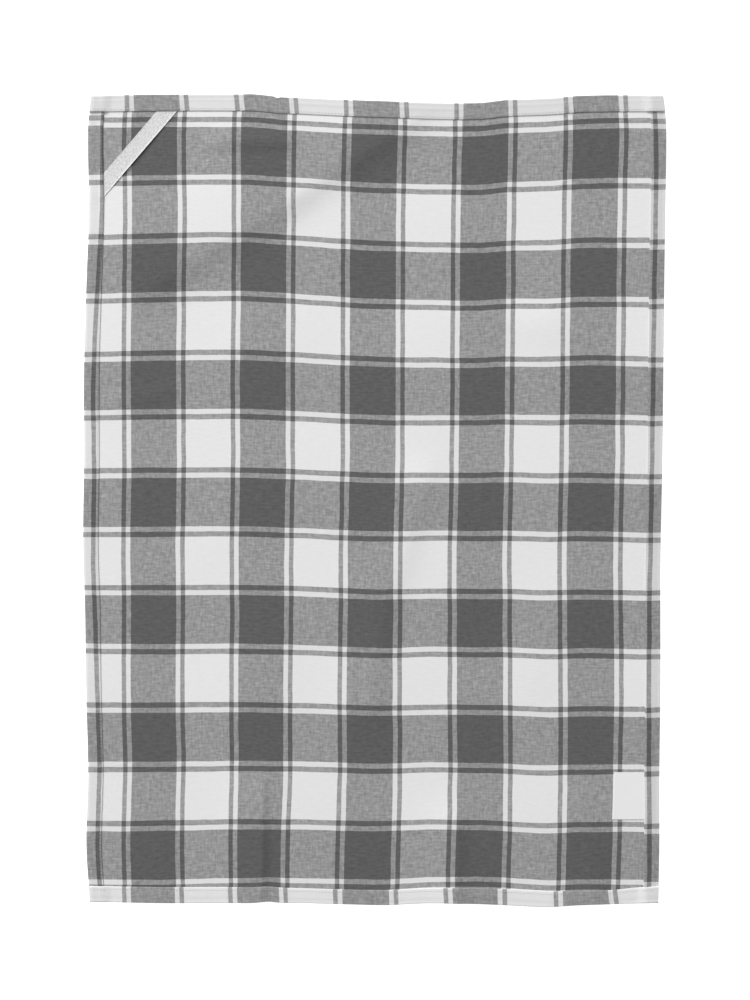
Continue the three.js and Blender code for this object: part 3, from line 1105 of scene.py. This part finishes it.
def matt_floor(settings):
    """Matt white studio board, lit a little from below: one pale even tone with a very faint mottle."""
    material, tree, output = new_material("matt white board")
    place = add_node(tree, "ShaderNodeTexCoord").outputs["Object"]
    noise = add_node(tree, "ShaderNodeTexNoise", {"Vector": place, "Scale": 3.0})
    shade = tuple(0.99 * c for c in settings.floor)
    colour = add_node(
        tree,
        "ShaderNodeMix",
        {"Factor": noise.outputs[0], "A": (*shade, 1), "B": (*settings.floor, 1)},
        data_type="RGBA",
    )
    shader = add_node(
        tree,
        "ShaderNodeBsdfPrincipled",
        {
            "Base Color": colour.outputs["Result"],
            "Roughness": 1.0,
            "Emission Color": (1, 1, 1, 1),
            "Emission Strength": settings.glow,
        },
    )
    tree.links.new(shader.outputs[0], output.inputs["Surface"])
    return material


class TEATOWEL_OT_stage(bpy.types.Operator):
    """Adds the floor, the soft lights and the camera straight above"""

    bl_idname = "tea_towel.stage"
    bl_label = "Stage"

    def execute(self, context):
        settings = context.scene.tea_towel_stage
        corners = np.array([(-1, -1, 0), (1, -1, 0), (1, 1, 0), (-1, 1, 0)]) * FLOOR_REACH
        corners = corners - (0, 0, FLOOR_DROP)
        floor = make_piece("floor", corners, np.array([[0, 1, 2, 3]]), matt_floor(settings))

        sky = bpy.data.worlds.new("soft white room")
        sky.use_nodes = True
        sky.node_tree.nodes["Background"].inputs["Color"].default_value = (1, 1, 1, 1)
        sky.node_tree.nodes["Background"].inputs["Strength"].default_value = settings.sky
        context.scene.world = sky

        lamp = bpy.data.lights.new("key softbox", "AREA")
        lamp.energy = settings.key
        lamp.size = KEY_SIZE
        key = bpy.data.objects.new("key softbox", lamp)
        key.location = KEY_PLACE
        key.rotation_euler = (-Vector(key.location)).to_track_quat("-Z", "Y").to_euler()
        context.scene.collection.objects.link(key)

        lens = bpy.data.cameras.new("camera above")
        lens.sensor_width = 36.0
        lens.lens = lens.sensor_width * settings.height / settings.frame_height
        lens.clip_end = 20.0
        camera = bpy.data.objects.new("camera above", lens)
        camera.location = (CAMERA_OFFSET, CAMERA_OFFSET, settings.height)
        context.scene.collection.objects.link(camera)
        context.scene.camera = camera
        context.scene.view_settings.view_transform = "Standard"
        return {"FINISHED"}


class TEATOWEL_OT_cloth(bpy.types.Operator):
    """Weaves the towel's cloth and turns its hems"""

    bl_idname = "tea_towel.cloth"
    bl_label = "Towel cloth"

    def execute(self, context):
        scene = context.scene
        settings = scene.tea_towel_cloth
        cloth = cloth_sizes(settings)
        columns = cloth_lines(cloth.side, cloth.pitch, CREASE_COLUMNS)
        a = columns[None, :]
        b = cloth_lines(end_axis(cloth, columns), cloth.pitch)
        tape_height = scene.tea_towel_tape.thickness / MM
        label_height = 2 * scene.tea_towel_label.thickness / MM
        points, side, end = laid(a, b, cloth, tape_height, label_height)
        flat = stripes_at(a, b, side, end)
        # Darkness of the hems: layers showing through, and painted shade
        below = show_through_and_painted_shade(a, b, flat, side, end, cloth, settings)
        faces = grid_faces(*b.shape)
        towel = make_piece(
            "towel", points.reshape(-1, 3), faces, check_cotton(settings), flat.reshape(-1, 2)
        )
        darkness = towel.data.attributes.new(HEM_DARKNESS_AND_SHADE, "FLOAT", "POINT")
        darkness.data.foreach_set("value", below.astype(np.float32).ravel())
        thicken(towel, settings.thickness)
        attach(towel, "root")
        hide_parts("towel_cloth")
        return {"FINISHED"}


class TEATOWEL_OT_tape(bpy.types.Operator):
    """Sews the hanging tape across the upper left corner"""

    bl_idname = "tea_towel.tape"
    bl_label = "Hanging tape"

    def execute(self, context):
        scene = context.scene
        settings = scene.tea_towel_tape
        u = np.linspace(0, 1, 61)[None, :]
        v = np.sin(np.linspace(-1, 1, 17) * math.pi / 2)[:, None]
        points, flat = tape_sheet(u, v, settings, cloth_sizes(scene.tea_towel_cloth))
        tape = make_piece(
            "tape",
            points.reshape(-1, 3),
            grid_faces(v.size, u.size),
            twill_tape(settings),
            flat.reshape(-1, 2),
        )
        thicken(tape, settings.thickness)
        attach(tape, "root")
        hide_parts("hanging_tape")
        return {"FINISHED"}


class TEATOWEL_OT_label(bpy.types.Operator):
    """Lays the folded bare label under the right hem"""

    bl_idname = "tea_towel.label"
    bl_label = "Label"

    def execute(self, context):
        scene = context.scene
        settings = scene.tea_towel_label
        out, back = np.linspace(0, 1, 25)[:-1], np.linspace(2, 3, 25)[1:]
        u = np.concatenate((out, np.linspace(1, 2, 7), back))[None, :]
        v = np.concatenate(([0, 0.004], np.linspace(0.03, 0.97, 29), [0.996, 1]))[:, None]
        points, flat = label_sheet(u, v, settings, cloth_sizes(scene.tea_towel_cloth))
        label = make_piece(
            "label_ribbon",
            points.reshape(-1, 3),
            grid_faces(v.size, u.size),
            satin_label(settings),
            flat.reshape(-1, 2),
        )
        thicken(label, settings.thickness)
        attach(label, "root")
        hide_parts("label")
        return {"FINISHED"}


class TEATOWEL_OT_stitches(bpy.types.Operator):
    """Sews the rows of stitches along the inner edges of the hems"""

    bl_idname = "tea_towel.stitches"
    bl_label = "Hem stitches"

    def execute(self, context):
        scene = context.scene
        settings = scene.tea_towel_stitches
        cloth = cloth_sizes(scene.tea_towel_cloth)
        tape_height = scene.tea_towel_tape.thickness / MM
        label_height = 2 * scene.tea_towel_label.thickness / MM
        points = []
        faces = []
        for row in STITCH_ROWS:
            a, b = seam_places(row, settings, cloth)
            top = laid(a, b, cloth, tape_height, label_height)[0] + (0, 0, cloth.thickness / 2)
            beads, quads = stitch_beads(top, settings.thread / MM)
            faces.append(quads + sum(map(len, points)))
            points.append(beads)
        stitches = make_piece(
            "hem_stitches", np.concatenate(points), np.concatenate(faces), sewing_thread(settings)
        )
        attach(stitches, "root")
        return {"FINISHED"}


class TEATOWEL_PT_panel(bpy.types.Panel):
    """Lists the towel's settings and the buttons that build it"""

    bl_idname = "TEATOWEL_PT_panel"
    bl_label = "Tea Towel"
    bl_space_type = "VIEW_3D"
    bl_region_type = "UI"
    bl_category = "Tea Towel"

    def draw(self, context):
        for operator, group in BUILD_STEPS:
            box = self.layout.box()
            box.operator(operator.bl_idname)
            settings = getattr(context.scene, group)
            for name in settings.__annotations__:
                box.prop(settings, name)


SETTINGS = {
    "tea_towel_stage": StageSettings,
    "tea_towel_cloth": ClothSettings,
    "tea_towel_tape": TapeSettings,
    "tea_towel_label": LabelSettings,
    "tea_towel_stitches": StitchSettings,
}
BUILD_STEPS = (
    (TEATOWEL_OT_stage, "tea_towel_stage"),
    (TEATOWEL_OT_stitches, "tea_towel_stitches"),
    (TEATOWEL_OT_cloth, "tea_towel_cloth"),
    (TEATOWEL_OT_tape, "tea_towel_tape"),
    (TEATOWEL_OT_label, "tea_towel_label"),
)
CLASSES = (*SETTINGS.values(), *(operator for operator, _ in BUILD_STEPS), TEATOWEL_PT_panel)


def register():
    for kind in CLASSES:
        bpy.utils.register_class(kind)
    for name, kind in SETTINGS.items():
        setattr(bpy.types.Scene, name, PointerProperty(type=kind))


def unregister():
    for name in SETTINGS:
        delattr(bpy.types.Scene, name)
    for kind in reversed(CLASSES):
        bpy.utils.unregister_class(kind)


def main():
    register()
    bpy.ops.tea_towel.stage()
    bpy.ops.tea_towel.stitches()
    bpy.ops.tea_towel.cloth()
    bpy.ops.tea_towel.tape()
    bpy.ops.tea_towel.label()


if __name__ == "__main__":
    main()
